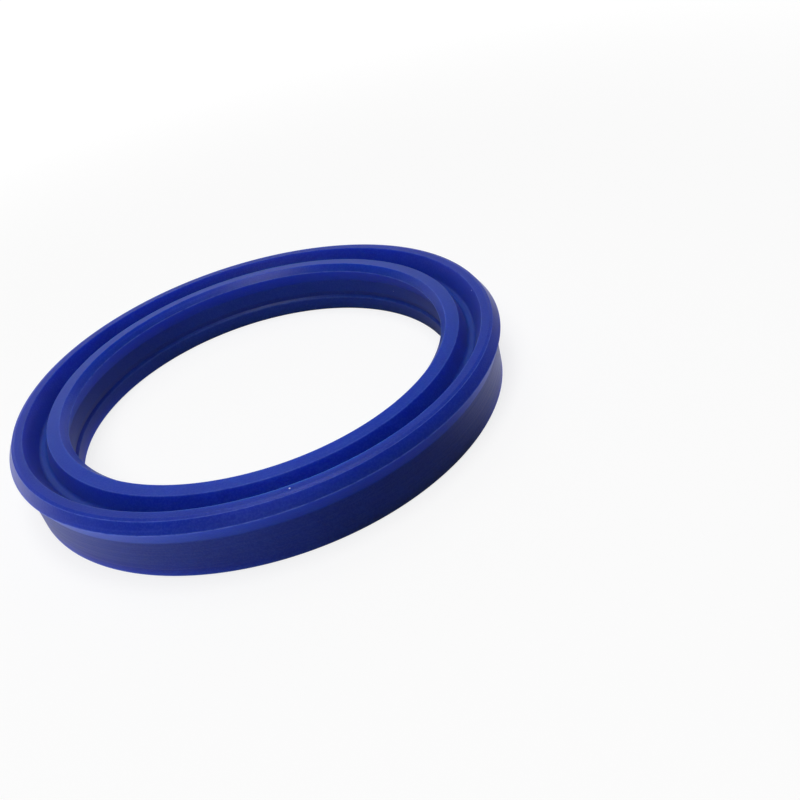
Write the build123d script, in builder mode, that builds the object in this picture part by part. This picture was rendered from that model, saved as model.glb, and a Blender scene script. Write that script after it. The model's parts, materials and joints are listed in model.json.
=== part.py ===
"""U cup seal for a 63 mm rod and a 78 mm housing groove.

One moulded polyurethane ring: a solid heel, with a flared lip on each side of
a V groove. The ring lies on its heel face with the groove upwards. The origin
is the centre of the heel face, and +Z is the axis of the ring.
"""
from build123d import *
import os

# Nominal sizes, in millimetres
rod_diameter = 63.0  # bore of the heel
section_width = 7.5  # heel from its bore to its outside, which fills the gap from rod to housing
seal_height = 10.0  # heel face to the crest of the outer lip

# Heel
heel_edge_break = 0.2  # small bevel on both edges of the heel face
heel_land_height = 2.6  # top of the land that runs close to the rod
bore_relief = 0.2  # how far the bore steps back above the land
relief_run = 1.2  # height over which the bore steps back
lip_root_height = 6.1  # where both lips begin to flare
lip_root_radius = 0.8  # hollow fillet at the root of each lip

# Outer lip
outer_lip_reach = 1.0  # sealing edge beyond the outside of the heel
outer_edge_drop = 1.7  # sealing edge below the crest
outer_bevel_width = 1.05  # bevel from the sealing edge in to the crest

# Inner lip
inner_lip_drop = 0.35  # its crest below the crest of the outer lip
inner_lip_reach = 0.9  # sealing edge inside the bore of the heel
inner_edge_drop = 1.2  # sealing edge below its own crest
inner_bevel_width = 1.0  # bevel from the sealing edge out to the crest

# Groove between the lips. The flat crests of the lips take what its mouth leaves.
groove_mouth_width = 3.6  # between the flat crests of the lips
groove_mouth_offset = 0.2  # middle of the mouth, outwards of the middle of the floor
groove_depth = 3.05  # floor below the crest of the outer lip
groove_floor_width = 1.1  # between the feet of the two groove walls
groove_floor_round = 0.5  # hollow at the foot of each wall, where the floor is wide enough

# Radii and heights that follow from those sizes
bore_radius = rod_diameter / 2
relief_radius = bore_radius + bore_relief
heel_radius = bore_radius + section_width

outer_edge_radius = heel_radius + outer_lip_reach
outer_crest_radius = outer_edge_radius - outer_bevel_width

inner_crest_height = seal_height - inner_lip_drop
inner_edge_radius = bore_radius - inner_lip_reach
inner_crest_radius = inner_edge_radius + inner_bevel_width

floor_height = seal_height - groove_depth
floor_centre_radius = bore_radius + section_width / 2
floor_half_width = groove_floor_width / 2
mouth_centre_radius = floor_centre_radius + groove_mouth_offset
mouth_half_width = groove_mouth_width / 2

# Corners of the section, each as (radius, height)
heel_inner = (bore_radius, 0)
heel_outer = (heel_radius, 0)
outer_root = (heel_radius, lip_root_height)
outer_edge = (outer_edge_radius, seal_height - outer_edge_drop)
outer_crest = (outer_crest_radius, seal_height)
outer_brink = (mouth_centre_radius + mouth_half_width, seal_height)
outer_foot = (floor_centre_radius + floor_half_width, floor_height)
inner_foot = (floor_centre_radius - floor_half_width, floor_height)
inner_brink = (mouth_centre_radius - mouth_half_width, inner_crest_height)
inner_crest = (inner_crest_radius, inner_crest_height)
inner_edge = (inner_edge_radius, inner_crest_height - inner_edge_drop)
inner_root = (relief_radius, lip_root_height)
relief_top = (relief_radius, heel_land_height + relief_run)
land_top = (bore_radius, heel_land_height)

# Hollow corners, and the radius of each. The lips keep their knife-cut edges.
foot_radius = min(groove_floor_round, floor_half_width)
hollow_corners = {
    outer_root: lip_root_radius,
    inner_root: lip_root_radius,
    outer_foot: foot_radius,
    inner_foot: foot_radius,
}

with BuildPart() as seal:
    # The section stands in the XZ plane, with its radius along X
    with BuildSketch(Plane.XZ) as section:
        with BuildLine():
            Polyline(
                heel_inner,
                heel_outer,
                outer_root,
                outer_edge,
                outer_crest,
                outer_brink,
                outer_foot,
                inner_foot,
                inner_brink,
                inner_crest,
                inner_edge,
                inner_root,
                relief_top,
                land_top,
                close=True,
            )
        make_face()
        for point, radius in hollow_corners.items():
            fillet(section.vertices().sort_by_distance(point)[0], radius)
        chamfer(section.vertices().group_by(Axis.Y)[0], heel_edge_break)
    revolve(axis=Axis.Z)

seal.part.label = "u_cup_seal"
os.makedirs("parts", exist_ok=True)
export_step(seal.part, "parts/u_cup_seal.step")
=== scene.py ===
"""A U cup seal: one ring of blue polyurethane, moulded and then trimmed with a knife.

The ring is swept round its axis from a section that changes a little with the angle, because
the knife never runs quite true. It stands for the CAD ring, and keeps to its section within
about 0.3 mm, which is what the fine trim adds.
The axis of the ring is Z, it lies on its heel face at height 0, and the groove faces up.
"""

import json
import math

import bpy
import numpy as np
from bpy.props import FloatProperty, FloatVectorProperty, IntProperty, PointerProperty
from bpy.types import Operator, Panel, PropertyGroup
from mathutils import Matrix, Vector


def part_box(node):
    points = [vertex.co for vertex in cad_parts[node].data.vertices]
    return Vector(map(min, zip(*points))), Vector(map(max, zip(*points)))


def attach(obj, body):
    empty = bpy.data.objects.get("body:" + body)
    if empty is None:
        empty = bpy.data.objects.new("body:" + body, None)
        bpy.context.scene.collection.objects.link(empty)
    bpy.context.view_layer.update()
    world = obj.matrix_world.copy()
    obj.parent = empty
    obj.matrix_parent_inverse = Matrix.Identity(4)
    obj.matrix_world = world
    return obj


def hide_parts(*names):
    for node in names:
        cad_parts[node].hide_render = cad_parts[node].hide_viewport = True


bl_info = {
    "name": "U cup seal",
    "version": (1, 0, 0),
    "blender": (4, 5, 0),
    "location": "3D View > Sidebar > Cup seal",
    "description": "Builds a moulded U cup seal and a plain studio to show it in",
    "category": "Add Mesh",
}

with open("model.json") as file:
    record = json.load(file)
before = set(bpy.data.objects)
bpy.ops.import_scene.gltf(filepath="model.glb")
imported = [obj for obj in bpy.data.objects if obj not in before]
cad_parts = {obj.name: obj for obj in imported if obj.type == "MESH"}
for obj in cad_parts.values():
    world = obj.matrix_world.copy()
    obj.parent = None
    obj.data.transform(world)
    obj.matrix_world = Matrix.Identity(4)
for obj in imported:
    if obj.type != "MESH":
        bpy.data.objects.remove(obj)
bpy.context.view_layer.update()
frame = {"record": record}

MM = 0.001
NODE = "u_cup_seal"

# What the packed ring itself says: its two seats, in metres, and its height
SEATS = {mount["name"]: mount["dims"] for mount in frame["record"]["mounts"]}
BORE_RADIUS = SEATS["rod_bore"]["r_mm"] * MM
HEEL_RADIUS = SEATS["housing_seat"]["r_mm"] * MM
SEAL_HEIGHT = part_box(NODE)[1].z


# ---------------------------------------------------------------- settings


def length(name, description, default):
    """A size of the object. The property is in metres, and the default given is too."""
    return FloatProperty(
        name=name, description=description, default=default, min=0.0, unit="LENGTH", precision=5
    )


def angle(name, description, degrees):
    """An angle, whose default is given in degrees."""
    return FloatProperty(
        name=name, description=description, default=math.radians(degrees), unit="ROTATION"
    )


def share(name, description, default):
    """A number from 0 to 1."""
    return FloatProperty(
        name=name, description=description, default=default, min=0.0, max=1.0, subtype="FACTOR"
    )


def amount(name, description, default):
    """A plain number that isn't negative."""
    return FloatProperty(name=name, description=description, default=default, min=0.0)


def colour(name, description, default):
    """A colour in linear light."""
    return FloatVectorProperty(
        name=name, description=description, default=default, min=0.0, max=1.0, subtype="COLOR"
    )


class SealSection(PropertyGroup):
    """The sizes of the ring's section."""

    bore_radius: length("Bore radius", "Radius of the land that runs close to the rod", BORE_RADIUS)
    heel_radius: length("Heel radius", "Radius of the outside of the heel", HEEL_RADIUS)
    height: length("Height", "From the heel face to the crest of the outer lip", SEAL_HEIGHT)
    heel_edge_break: length("Heel edge break", "Bevel on both edges of the heel face", 0.2 * MM)
    land_height: length("Land height", "Top of the land above the heel face", 2.6 * MM)
    bore_relief: length("Bore relief", "How far the bore steps back above the land", 0.2 * MM)
    relief_run: length("Relief run", "Height over which the bore steps back", 1.2 * MM)
    root_height: length("Lip root height", "Where both lips begin to flare", 6.1 * MM)
    root_radius: length("Lip root radius", "Hollow at the root of each lip", 0.8 * MM)
    outer_reach: length("Outer lip reach", "Sealing edge beyond the heel", 0.96 * MM)
    outer_edge_drop: length("Outer edge drop", "Sealing edge below the crest", 1.7 * MM)
    outer_bevel: length("Outer bevel", "From the sealing edge in to the crest", 1.02 * MM)
    inner_drop: length("Inner lip drop", "Inner crest below the outer crest", 0.35 * MM)
    inner_reach: length("Inner lip reach", "Sealing edge inside the bore", 0.88 * MM)
    inner_edge_drop: length("Inner edge drop", "Sealing edge below its crest", 1.2 * MM)
    inner_bevel: length("Inner bevel", "From the sealing edge out to the crest", 0.98 * MM)
    mouth_width: length("Groove mouth", "Width of the groove between the crests", 3.6 * MM)
    mouth_offset: length("Mouth offset", "Middle of the mouth, outwards of the floor's", 0.2 * MM)
    floor_width: length("Groove floor", "Width of the floor of the groove", 1.125 * MM)
    floor_round: length("Floor round", "Hollow at the foot of each groove wall", 0.5 * MM)
    groove_depth: length("Groove depth", "Floor below the crest of the outer lip", 3.05 * MM)


class SealTrim(PropertyGroup):
    """What moulding and the knife leave on the ring."""

    edge_round: length("Edge round", "How blunt the heel's and the sealing edges are", 0.1 * MM)
    crest_round: length("Crest round", "How blunt the corners of the crests are", 0.09 * MM)
    step_round: length("Step round", "How soft the top edge of the land is", 0.35 * MM)
    notch: length("Notch", "Depth of the fine groove above the land", 0.16 * MM)
    wander: length("Knife wander", "How far the trimmed edges stray from true", 0.03 * MM)
    strip_width: length("Crest strip", "Strip beside the outer corner that leans out", 0.5 * MM)
    strip_fall: length("Strip fall", "How far that strip falls outwards", 0.14 * MM)
    crest_tilt: length("Crest tilt", "How far the inner crest falls outwards", 0.18 * MM)
    bead_width: length("Bead width", "Fine bead that the knife leaves on the corner", 0.1 * MM)
    bead_round: length("Bead round", "How blunt the two edges of that bead are", 0.03 * MM)
    strip_round: length("Strip round", "How softly the crest turns into its strip", 0.2 * MM)
    steps_around: IntProperty(
        name="Steps around", description="How many sections make the ring", default=640, min=48
    )
    arc_steps: IntProperty(
        name="Arc steps", description="How many facets make each rounded corner", default=4, min=2
    )
    seed: IntProperty(name="Seed", description="Picks the wander of the knife", default=7, min=0)


class SealFinish(PropertyGroup):
    """The colours and the surface of the polyurethane."""

    body: colour("Body colour", "Blue of the polyurethane", (0.001, 0.022, 0.285))
    cloud: colour("Cloud colour", "Paler blue that clouds it faintly", (0.003, 0.027, 0.315))
    # Painted light: a brighter blue that stands in for the light that comes through the lips
    thin: colour("Thin colour", "Brighter blue where light comes through a lip", (0.002, 0.055, 0.49))
    # Painted highlight and wear: a chalky paler blue for rubbed and knife-cut edges and for the edges
    # that catch the light
    scuff_and_highlight: colour("Scuff colour", "Chalky blue of rubbed and knife-cut edges", (0.12, 0.19, 0.7))
    dust: colour("Dust colour", "The few specks of dust", (0.8, 0.85, 0.95))
    roughness: share("Roughness", "How satin the moulded skin is", 0.42)
    cut_roughness: share("Cut roughness", "Roughness of the knife-cut bevels", 0.36)
    grain_height: length("Grain height", "Height of the fine grain of the skin", 0.02 * MM)
    ring_height: length("Ring height", "Height of the fine rings round the heel", 0.08 * MM)
    haze: share("Haze", "Faint bloom that shows at a glancing angle", 0.04)
    # Painted highlight and wear: how thick the chalk lies on the corners, which it lightens where
    # they are rubbed and where they catch the light
    wear_and_highlight: share("Wear", "How thick the chalk lies on the worn edges", 0.6)
    speckle: share("Speckle", "How thick the fine speckle of chalk lies everywhere", 0.06)
    streaks: share("Streaks", "How thick the streaks of chalk lie along the knife's cuts", 0.08)
    bleed: length("Bleed", "How far light spreads within the polyurethane", 12 * MM)


class StudioSettings(PropertyGroup):
    """The studio: its floor, its light and its camera."""

    floor_radius: length("Floor radius", "Radius of the round floor", 4.0)
    floor: colour("Floor colour", "How light the floor is under the lamps", (0.25, 0.25, 0.25))
    floor_glow: share("Floor glow", "How much whiter the floor looks than it is lit", 0.78)
    # Painted light: the pools are patches where the floor glows, though it is no lamp, and light the
    # ring; the camera doesn't see them
    pool: amount("Pool", "Strength of the pool of light on the left of the floor", 2.3)
    pool_side: angle("Pool side", "Where that pool lies, turned left from the right-hand side", 205)
    right_pool: amount("Right pool", "Strength of the light on the right of the floor", 1.0)
    right_side: angle("Right side", "Where that light lies", 15)
    inner_pool: amount("Inner pool", "Strength of the light on the floor within the ring", 0.13)
    ambient: amount("Ambient", "Even light from all round", 0.06)
    backdrop: amount("Backdrop", "Light from the lit backdrop behind the ring", 0.72)
    backdrop_side: angle("Backdrop side", "Where the backdrop stands", 98)
    gloss_share: share("Gloss share", "How much of the white surroundings shows in gloss", 0.08)
    lamp_distance: length("Lamp distance", "From the ring to each lamp", 0.7)
    lamp_size: length("Lamp size", "Diameter of each round soft lamp", 0.36)
    top_lamp: amount("Top lamp", "Watts of the lamp overhead", 1.7)
    left_lamp: amount("Left lamp", "Watts of the lamp at the front left", 1.5)
    back_lamp: amount("Back lamp", "Watts of the lamp at the back left", 0.45)
    lens: FloatProperty(
        name="Lens", description="Focal length of the camera", default=39.5, unit="CAMERA"
    )
    camera_place: FloatVectorProperty(
        name="Camera place",
        description="Where the camera stands",
        default=(0.0211, -0.1257, 0.0753),
        subtype="XYZ_LENGTH",
        unit="LENGTH",
    )
    camera_pitch: angle("Camera pitch", "How far the camera looks down", 32.85)
    camera_roll: angle("Camera roll", "How far the camera leans to one side", 14.96)


# ---------------------------------------------------------------- shapes


def wander(around, size, rng, lowest=2, highest=9):
    """A smooth closed curve of the angle, within plus or minus size.

    It is a sum of cosines of whole multiples of the angle, each with a random phase and with
    an amplitude of 1 over its multiple, scaled to its own largest value.
    """
    multiples = np.arange(lowest, highest + 1)
    phases = rng.uniform(0, 2 * np.pi, len(multiples))
    curve = (np.cos(np.outer(around, multiples) + phases) / multiples).sum(axis=1)
    return size * curve / np.abs(curve).max()


def rounded_outlines(corners, radii, arc_steps, flat_shares):
    """Closed outlines through the given corners, each corner turned into an arc.

    corners is (outlines, corners, 2) and radii is (corners,). The circle of a corner touches
    its two sides at radius / tan(half the angle between them) from the corner, and its centre
    lies on their bisector at radius / sin(half the angle). A point of the arc is the centre
    plus a blend of the two radii to those touching points, turned evenly by sin weights. The
    flats between two arcs get points at flat_shares of their length.
    """
    back = np.roll(corners, 1, axis=1) - corners
    ahead = np.roll(corners, -1, axis=1) - corners
    back /= np.linalg.norm(back, axis=2, keepdims=True)
    ahead /= np.linalg.norm(ahead, axis=2, keepdims=True)
    half = np.arccos((back * ahead).sum(axis=2, keepdims=True)) / 2
    radius = radii[None, :, None]
    bisector = back + ahead
    bisector /= np.linalg.norm(bisector, axis=2, keepdims=True)
    centre = corners + bisector * radius / np.sin(half)
    start = corners + back * radius / np.tan(half)
    end = corners + ahead * radius / np.tan(half)

    turn = (np.pi - 2 * half)[..., None, :]
    step = np.linspace(0, 1, arc_steps + 1)[None, None, :, None]
    arcs = centre[..., None, :] + (
        (start - centre)[..., None, :] * np.sin((1 - step) * turn)
        + (end - centre)[..., None, :] * np.sin(step * turn)
    ) / np.sin(turn)

    along = np.array(flat_shares)[None, None, :, None]
    following = np.roll(start, -1, axis=1)[..., None, :]
    flats = end[..., None, :] * (1 - along) + following * along
    pieces = np.concatenate([arcs, flats], axis=2)
    return pieces.reshape(len(corners), -1, 2)


def revolve(around, outlines):
    """Points and faces of a ring from one closed outline of (radius, height) per angle.

    The point of outline j at angle a is (radius cos a, radius sin a, height). Faces join
    neighbouring angles and neighbouring points, and both ways round close on themselves.
    """
    radius = outlines[..., 0]
    turned = np.stack(
        [radius * np.cos(around)[:, None], radius * np.sin(around)[:, None], outlines[..., 1]],
        axis=2,
    )
    index = np.arange(radius.size).reshape(radius.shape)
    ahead = np.roll(index, -1, axis=0)
    faces = np.stack(
        [index, ahead, np.roll(ahead, -1, axis=1), np.roll(index, -1, axis=1)], axis=2
    )
    return turned.reshape(-1, 3), faces.reshape(-1, 4)


def mesh_object(name, points, faces, attributes):
    """A smooth-shaded mesh object at the origin, with one number per point for each attribute."""
    mesh = bpy.data.meshes.new(name)
    mesh.vertices.add(len(points))
    mesh.vertices.foreach_set("co", points.astype(np.float32).ravel())
    mesh.loops.add(faces.size)
    mesh.loops.foreach_set("vertex_index", faces.astype(np.int32).ravel())
    mesh.polygons.add(len(faces))
    mesh.polygons.foreach_set("loop_start", np.arange(0, faces.size, 4, dtype=np.int32))
    mesh.update(calc_edges=True)
    mesh.shade_smooth()
    for label, values in attributes.items():
        layer = mesh.attributes.new(label, "FLOAT", "POINT")
        layer.data.foreach_set("value", values.astype(np.float32).ravel())
    if mesh.validate():
        raise RuntimeError(f"the mesh of {name} has faults")
    made = bpy.data.objects.new(name, mesh)
    bpy.context.scene.collection.objects.link(made)
    return made


def seal_corners(section, trim, around):
    """The corners of the section at each angle, and what is said of each.

    The corners go counter-clockwise from the bore's edge of the heel face. Each has a radius, a
    height, a rounding and how much it is rubbed and lightened by a painted edge highlight, and
    then says of the flat that follows it how much painted glow it gets for the light that comes
    through the lip there, and how far the knife cut it. The radii and heights of the
    knife-cut corners wander with the angle. Returns the (angles, corners, 2) places and a
    column each of the rest.
    """
    rng = np.random.default_rng(trim.seed)

    def stray(part=1.0):
        return wander(around, trim.wander * part, rng)

    bore, heel, top = section.bore_radius, section.heel_radius, section.height
    middle = (bore + heel) / 2
    mouth_middle = middle + section.mouth_offset
    floor = top - section.groove_depth
    edge, corner, step, notch = trim.edge_round, trim.crest_round, trim.step_round, trim.notch

    outer_edge = heel + section.outer_reach + stray()
    outer_edge_height = top - section.outer_edge_drop + stray()
    outer_crest = heel + section.outer_reach - section.outer_bevel + stray()
    bead = outer_crest - trim.bead_width
    strip = outer_crest - trim.strip_width
    outer_brink = mouth_middle + section.mouth_width / 2 + stray(0.5)
    outer_top = top - trim.wander * 0.5 + stray(0.5)

    inner_top = top - section.inner_drop + stray(0.5)
    inner_edge = bore - section.inner_reach + stray()
    inner_edge_height = inner_top - section.inner_edge_drop + stray()
    inner_crest = bore - section.inner_reach + section.inner_bevel + stray()
    inner_brink = mouth_middle - section.mouth_width / 2 + stray(0.5)
    relief = bore + section.bore_relief

    rows = [
        # radius, height, rounding, rubbed edge and painted edge highlight, painted glow of light
        # through the lip, cut
        (bore, section.heel_edge_break, edge, 0.2, 0, 0),
        (bore + section.heel_edge_break, 0.0, edge, 0.3, 0, 0),
        (heel - section.heel_edge_break, 0.0, edge, 0.3, 0, 0),
        (heel, section.heel_edge_break, edge, 0.2, 0, 0),
        (heel, section.root_height, section.root_radius, 0.0, 1, 0),
        (outer_edge, outer_edge_height, edge, 1.0, 0, 1),
        (outer_crest, outer_top - trim.strip_fall, trim.bead_round, 0.9, 0.1, 0.5),
        (bead, outer_top - trim.strip_fall, trim.bead_round, 0.3, 0.1, 0.5),
        (strip, outer_top, trim.strip_round, 0.1, 0.1, 0.5),
        (outer_brink, outer_top, corner, 0.4, 0, 0),
        (middle + section.floor_width / 2, floor, section.floor_round, 0.0, 0.5, 0),
        (middle - section.floor_width / 2, floor, section.floor_round, 0.0, 0, 0),
        (inner_brink, inner_top - trim.crest_tilt, corner, 0.4, 0.45, 0.5),
        (inner_crest, inner_top, corner, 0.5, 0.3, 1),
        (inner_edge, inner_edge_height, edge, 1.0, 1, 0),
        (relief, section.root_height, section.root_radius, 0.0, 0.4, 0),
        (relief, section.land_height + section.relief_run, notch, 0.0, 0.2, 0),
        (relief + notch, section.land_height + section.relief_run * 0.3, notch / 2, 0.0, 0.3, 0),
        (bore, section.land_height - notch / 2, step, 0.3, 0.3, 0),
    ]
    corners = np.array(
        [[np.broadcast_to(value, around.shape) for value in row[:2]] for row in rows]
    ).transpose(2, 0, 1)
    return corners, *np.array([row[2:] for row in rows]).T


def make_seal(section, trim):
    """The ring as one closed mesh, with the attributes edge_wear_and_highlight, painted_glow and
    knife_cut.

    The rubbed edges and painted edge highlight are a corner's own, and are 0 on the flats. The
    painted glow, which stands in for light that comes through the lips, and the knife cut are a
    flat's own, and pass evenly from one flat to the next round the corner between them.
    """
    around = np.arange(trim.steps_around) * 2 * np.pi / trim.steps_around
    corners, radii, wear_and_highlight, lip, cut = seal_corners(section, trim, around)
    flat_shares = (0.05, 0.5, 0.95)
    outlines = rounded_outlines(corners, radii, trim.arc_steps, flat_shares)
    points, faces = revolve(around, outlines)

    turn = np.concatenate([np.linspace(0, 1, trim.arc_steps + 1), np.ones(len(flat_shares))])
    on_corner = np.concatenate([np.ones(trim.arc_steps + 1), np.zeros(len(flat_shares))])

    def from_flat_to_flat(values):
        return np.outer(np.roll(values, 1), 1 - turn) + np.outer(values, turn)

    # On the corners: rubbed edges and a painted edge highlight; on the flats: a painted glow that
    # stands in for light through the lips, and the knife's cut
    attributes = {
        "edge_wear_and_highlight": np.outer(wear_and_highlight, on_corner),
        "painted_glow": from_flat_to_flat(lip),
        "knife_cut": from_flat_to_flat(cut),
    }
    attributes = {
        name: np.tile(values.ravel(), trim.steps_around) for name, values in attributes.items()
    }
    return mesh_object("seal_ring", points, faces, attributes)


# ---------------------------------------------------------------- materials


class Signal:
    """An output socket in a node tree. Arithmetic on it adds Math nodes."""

    def __init__(self, tree, socket):
        self.tree = tree
        self.socket = socket

    def maths(self, operation, *values):
        inputs = dict(enumerate(values))
        return add_node(self.tree, "ShaderNodeMath", inputs, operation=operation)

    def __add__(self, other):
        return self.maths("ADD", self, other)

    def __sub__(self, other):
        return self.maths("SUBTRACT", self, other)

    def __rsub__(self, other):
        return self.maths("SUBTRACT", other, self)

    def __mul__(self, other):
        return self.maths("MULTIPLY", self, other)

    def __pow__(self, other):
        return self.maths("POWER", self, other)

    __radd__ = __add__
    __rmul__ = __mul__


def add_node(tree, kind, inputs=None, output=0, **settings):
    """Adds a node: its settings first, then the values or links of its sockets.

    inputs maps a socket's name or number to a number, a colour or a Signal. Returns the Signal
    of the output with that name or number.
    """
    node = tree.nodes.new(kind)
    for setting, value in settings.items():
        setattr(node, setting, value)
    for key, value in (inputs or {}).items():
        if isinstance(value, Signal):
            tree.links.new(value.socket, node.inputs[key])
        else:
            node.inputs[key].default_value = value
    return Signal(tree, node.outputs[output]) if node.outputs else None


def mix_colours(tree, share_of_second, first, second):
    """A blend of two colours, from the first at 0 to the second at 1."""
    inputs = {"Factor": share_of_second, 6: first, 7: second}
    return add_node(tree, "ShaderNodeMix", inputs, output=2, data_type="RGBA")


def rgba(value):
    """A colour property as the four numbers that a socket takes."""
    return (*value, 1.0)


def steps_between(signal, low, high):
    """0 below low, 1 above high, and a smooth rise between."""
    inputs = {"Value": signal, "From Min": low, "From Max": high}
    return add_node(
        signal.tree, "ShaderNodeMapRange", inputs, interpolation_type="SMOOTHSTEP"
    )


def parts_of(vector):
    """The three parts of a vector."""
    return [
        add_node(vector.tree, "ShaderNodeSeparateXYZ", {"Vector": vector}, output=axis)
        for axis in "XYZ"
    ]


def make_polyurethane(section, finish):
    """Blue polyurethane, faintly clouded, and brighter where light comes through a thin lip.

    The satin skin has a fine grain, and fine rings round the heel from the turned mould. The
    chalk on it lies on rubbed edges, where its paler blue is also a painted highlight of edges
    that catch the light, in streaks along the knife's cuts and as a fine speckle. The brighter
    blue is painted light as well: a lighter colour that stands in for the light that comes
    through the lips, laid on the groove floor and the bore too.
    """
    material = bpy.data.materials.new("blue_polyurethane")
    material.use_nodes = True
    tree = material.node_tree
    tree.nodes.clear()

    def attribute(name):
        return add_node(tree, "ShaderNodeAttribute", output="Fac", attribute_name=name)

    def noise(vector, scale, detail, roughness):
        inputs = {"Vector": vector, "Scale": scale, "Detail": detail, "Roughness": roughness}
        return add_node(tree, "ShaderNodeTexNoise", inputs)

    place = add_node(tree, "ShaderNodeTexCoord", output="Object")
    cut = attribute("knife_cut")

    # Scales of noise are in features per metre. The fine rings about the axis are noise that is
    # quick across the section and slow along the ring.
    x, y, z = parts_of(place)
    radius = (x * x + y * y) ** 0.5
    quick = 60
    stretched = {"X": radius * quick, "Y": x, "Z": z * quick}
    rings = noise(add_node(tree, "ShaderNodeCombineXYZ", stretched), 30.0, detail=3.0, roughness=0.6)

    grain = noise(place, 3600.0, detail=1.0, roughness=0.6)
    clouds = noise(place, 90.0, detail=3.0, roughness=0.55)
    rubs = noise(place, 700.0, detail=3.0, roughness=0.6)
    cells = {"Vector": place, "Scale": 400.0}
    picked = add_node(tree, "ShaderNodeTexVoronoi", cells, output="Color")
    middles = 1 - steps_between(add_node(tree, "ShaderNodeTexVoronoi", cells), 0.03, 0.06)
    specks = middles * steps_between(picked, 0.8, 0.81)

    body = mix_colours(tree, steps_between(clouds, 0.35, 0.7), rgba(finish.body), rgba(finish.cloud))
    # Painted light: the brighter blue stands in for the light that comes through the lips, and is
    # laid on the groove floor and the bore as well
    body = mix_colours(tree, attribute("painted_glow"), body, rgba(finish.thin))
    smoother = cut * (finish.roughness - finish.cut_roughness)
    roughness = finish.roughness - smoother + (rings - 0.5) * 0.1 + (grain - 0.5) * 0.08

    # The rings keep to the outside of the heel, and fade out at its edges
    fade = 0.5 * MM
    root = section.root_height
    outside = steps_between(radius, section.heel_radius - fade, section.heel_radius)
    heel = outside * (1 - steps_between(z, root - fade, root + fade))
    skin = grain * finish.grain_height + rings * heel * finish.ring_height
    bump = add_node(tree, "ShaderNodeBump", {"Height": skin, "Strength": 1.0, "Distance": 1.0})
    gloss = {"Normal": bump, "IOR": 1.5, "Specular IOR Level": 0.27, "Sheen Weight": finish.haze}
    deep = {
        "Base Color": body,
        "Roughness": roughness,
        "Subsurface Weight": 1.0,
        "Subsurface Radius": (0.1, 0.3, 1.0),
        "Subsurface Scale": finish.bleed,
    }
    skin_shader = add_node(tree, "ShaderNodeBsdfPrincipled", {**gloss, **deep})

    # Chalk and the few specks of dust lie on top of the skin, so they stay crisp
    chalk = mix_colours(tree, specks, rgba(finish.scuff_and_highlight), rgba(finish.dust))
    chalky = {"Base Color": chalk, "Roughness": 0.6}
    chalk_shader = add_node(tree, "ShaderNodeBsdfPrincipled", {**gloss, **chalky})
    # Painted highlight and wear: the chalk on the corners lightens the edges where they catch the
    # light, as well as where they are rubbed
    worn_and_highlit = attribute("edge_wear_and_highlight") * steps_between(rubs, 0.2, 0.6) * finish.wear_and_highlight
    speckle = steps_between(grain, 0.4, 0.65) * finish.speckle
    streaks = steps_between(rings, 0.54, 0.7) * cut * finish.streaks
    chalk_and_highlight = worn_and_highlit + specks + speckle + streaks
    surface = {0: chalk_and_highlight, 1: skin_shader, 2: chalk_shader}
    both = add_node(tree, "ShaderNodeMixShader", surface)
    add_node(tree, "ShaderNodeOutputMaterial", {"Surface": both})
    return material


# ---------------------------------------------------------------- studio


def share_seen(tree, studio):
    """1 for rays from the camera and through glass, a share for gloss, and 0 for the rest."""

    def ray(kind):
        return add_node(tree, "ShaderNodeLightPath", output=kind)

    gloss = ray("Is Glossy Ray") * studio.gloss_share
    return ray("Is Camera Ray") + ray("Is Transmission Ray") + gloss


def towards(x, y, side):
    """How far a place or a direction lies towards a side, given as an angle from +X."""
    return x * math.cos(side) + y * math.sin(side)


def make_floor(studio):
    """A round floor just under the ring. It looks white, and keeps the ring's shadow."""
    around = np.linspace(0, 2 * np.pi, 96, endpoint=False)
    rim = studio.floor_radius * np.stack([np.cos(around), np.sin(around), 0 * around], axis=1)
    mesh = bpy.data.meshes.new("floor")
    mesh.from_pydata(rim - (0, 0, 0.01 * MM), [], [range(len(rim))])
    floor = bpy.data.objects.new("floor", mesh)
    bpy.context.scene.collection.objects.link(floor)

    material = bpy.data.materials.new("pale_floor")
    material.use_nodes = True
    tree = material.node_tree
    tree.nodes.clear()
    x, y, _ = parts_of(add_node(tree, "ShaderNodeTexCoord", output="Object"))

    # Every distance here is in metres from the axis of the ring
    radius = (x * x + y * y) ** 0.5
    white = studio.floor_glow + steps_between(radius, 0.08, 0.5) * (1 - studio.floor_glow)
    # Painted pools of light: the floor glows in these patches for all but camera rays, and lights the
    # ring from the left, the right and within it
    left = steps_between(towards(x, y, studio.pool_side), 0.0, 0.12) * studio.pool
    left = left * (1 - steps_between(radius, 0.1, 0.4))
    right = steps_between(towards(x, y, studio.right_side), 0.02, 0.045) * studio.right_pool
    right = right * steps_between(radius, 0.034, 0.04) * (1 - steps_between(radius, 0.05, 0.08))
    inside = (1 - steps_between(radius, 0.02, 0.034)) * studio.inner_pool
    pool = left + right + inside
    seen = share_seen(tree, studio)
    strength = seen * white + (1 - seen) * pool
    matt = add_node(tree, "ShaderNodeBsdfDiffuse", {"Color": rgba(studio.floor)})
    glow = add_node(tree, "ShaderNodeEmission", {"Color": (1, 1, 1, 1), "Strength": strength})
    both = add_node(tree, "ShaderNodeAddShader", {0: matt, 1: glow})
    add_node(tree, "ShaderNodeOutputMaterial", {"Surface": both})
    mesh.materials.append(material)


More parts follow.
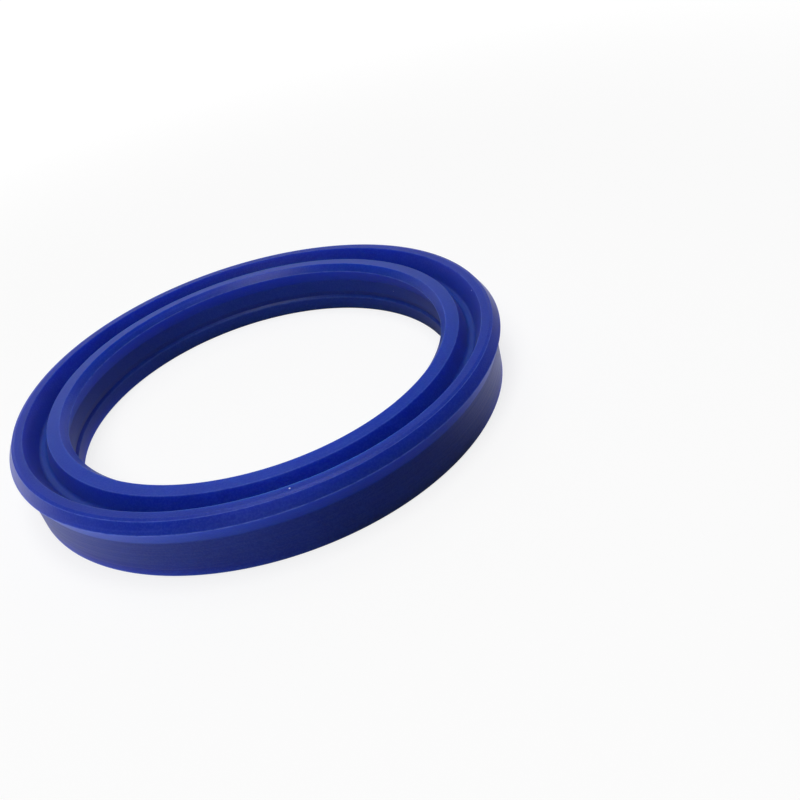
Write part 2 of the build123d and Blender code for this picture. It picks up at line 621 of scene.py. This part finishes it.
def make_world(studio):
    """White surroundings, which light the ring from a low backdrop and faintly from elsewhere."""
    world = bpy.data.worlds.new("studio")
    world.use_nodes = True
    tree = world.node_tree
    tree.nodes.clear()
    x, y, z = parts_of(add_node(tree, "ShaderNodeTexCoord", output="Generated"))
    facing = steps_between(towards(x, y, studio.backdrop_side), 0.3, 0.8)
    backdrop = facing * (1 - steps_between(z, 0.25, 0.6)) * studio.backdrop
    seen = share_seen(tree, studio)
    strength = seen + (1 - seen) * (backdrop + studio.ambient)
    light = add_node(tree, "ShaderNodeBackground", {"Color": (1, 1, 1, 1), "Strength": strength})
    add_node(tree, "ShaderNodeOutputWorld", {"Surface": light})
    bpy.context.scene.world = world


def make_lamp(studio, name, power, side, height):
    """A round soft lamp that faces the ring, from a side and a height given in degrees."""
    lamp = bpy.data.lights.new(name, "AREA")
    lamp.shape = "DISK"
    lamp.size = studio.lamp_size
    lamp.energy = power
    made = bpy.data.objects.new(name, lamp)
    bpy.context.scene.collection.objects.link(made)
    side, height = math.radians(side), math.radians(height)
    level = studio.lamp_distance * math.cos(height)
    rise = studio.lamp_distance * math.sin(height)
    made.location = (level * math.cos(side), level * math.sin(side), rise)
    made.rotation_euler = (math.pi / 2 - height, 0, side + math.pi / 2)
    made.visible_camera = False


def make_camera(studio):
    """The camera, turned by its pitch about X and then by its roll about its own axis."""
    lens = bpy.data.cameras.new("camera")
    lens.lens = studio.lens
    lens.clip_start = 0.01
    camera = bpy.data.objects.new("camera", lens)
    bpy.context.scene.collection.objects.link(camera)
    camera.location = studio.camera_place
    camera.rotation_mode = "ZYX"
    camera.rotation_euler = (math.pi / 2 - studio.camera_pitch, 0, -studio.camera_roll)
    bpy.context.scene.camera = camera


# ---------------------------------------------------------------- add-on


class SEAL_OT_make_stage(Operator):
    """Makes the floor, the backdrop, the lamps and the camera"""

    bl_idname = "seal.make_stage"
    bl_label = "Make stage"

    def execute(self, context):
        studio = context.scene.studio_settings
        make_floor(studio)
        make_world(studio)
        lamps = [
            # name, watts, side and height in degrees
            ("top_lamp", studio.top_lamp, 0, 88),
            ("left_lamp", studio.left_lamp, 250, 56),
            ("back_lamp", studio.back_lamp, 120, 58),
        ]
        for lamp in lamps:
            make_lamp(studio, *lamp)
        make_camera(studio)
        context.scene.view_settings.view_transform = "Standard"
        return {"FINISHED"}


class SEAL_OT_make_ring(Operator):
    """Makes the ring in place of the plain CAD ring, and gives it its material"""

    bl_idname = "seal.make_ring"
    bl_label = "Make ring"

    def execute(self, context):
        scene = context.scene
        ring = make_seal(scene.seal_section, scene.seal_trim)
        ring.data.materials.append(make_polyurethane(scene.seal_section, scene.seal_finish))
        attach(ring, "root")
        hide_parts(NODE)
        return {"FINISHED"}


class SEAL_PT_sidebar(Panel):
    """Lists the steps that build the seal, and the settings that they read"""

    bl_label = "Cup seal"
    bl_space_type = "VIEW_3D"
    bl_region_type = "UI"
    bl_category = "Cup seal"

    def draw(self, context):
        for operator in OPERATORS:
            self.layout.operator(operator.bl_idname)
        for key, group in SETTINGS.items():
            box = self.layout.box()
            box.label(text=group.__doc__)
            for name in group.__annotations__:
                box.prop(getattr(context.scene, key), name)


SETTINGS = {
    "seal_section": SealSection,
    "seal_trim": SealTrim,
    "seal_finish": SealFinish,
    "studio_settings": StudioSettings,
}
OPERATORS = (SEAL_OT_make_stage, SEAL_OT_make_ring)


def register():
    for group in SETTINGS.values():
        bpy.utils.register_class(group)
    for key, group in SETTINGS.items():
        setattr(bpy.types.Scene, key, PointerProperty(type=group))
    for operator in OPERATORS:
        bpy.utils.register_class(operator)
    bpy.utils.register_class(SEAL_PT_sidebar)


def unregister():
    bpy.utils.unregister_class(SEAL_PT_sidebar)
    for operator in reversed(OPERATORS):
        bpy.utils.unregister_class(operator)
    for key in SETTINGS:
        delattr(bpy.types.Scene, key)
    for group in reversed(SETTINGS.values()):
        bpy.utils.unregister_class(group)


def main():
    """Builds the scene: registers the add-on, and makes the stage and the ring."""
    register()
    bpy.ops.seal.make_stage()
    bpy.ops.seal.make_ring()


if __name__ == "__main__":
    main()
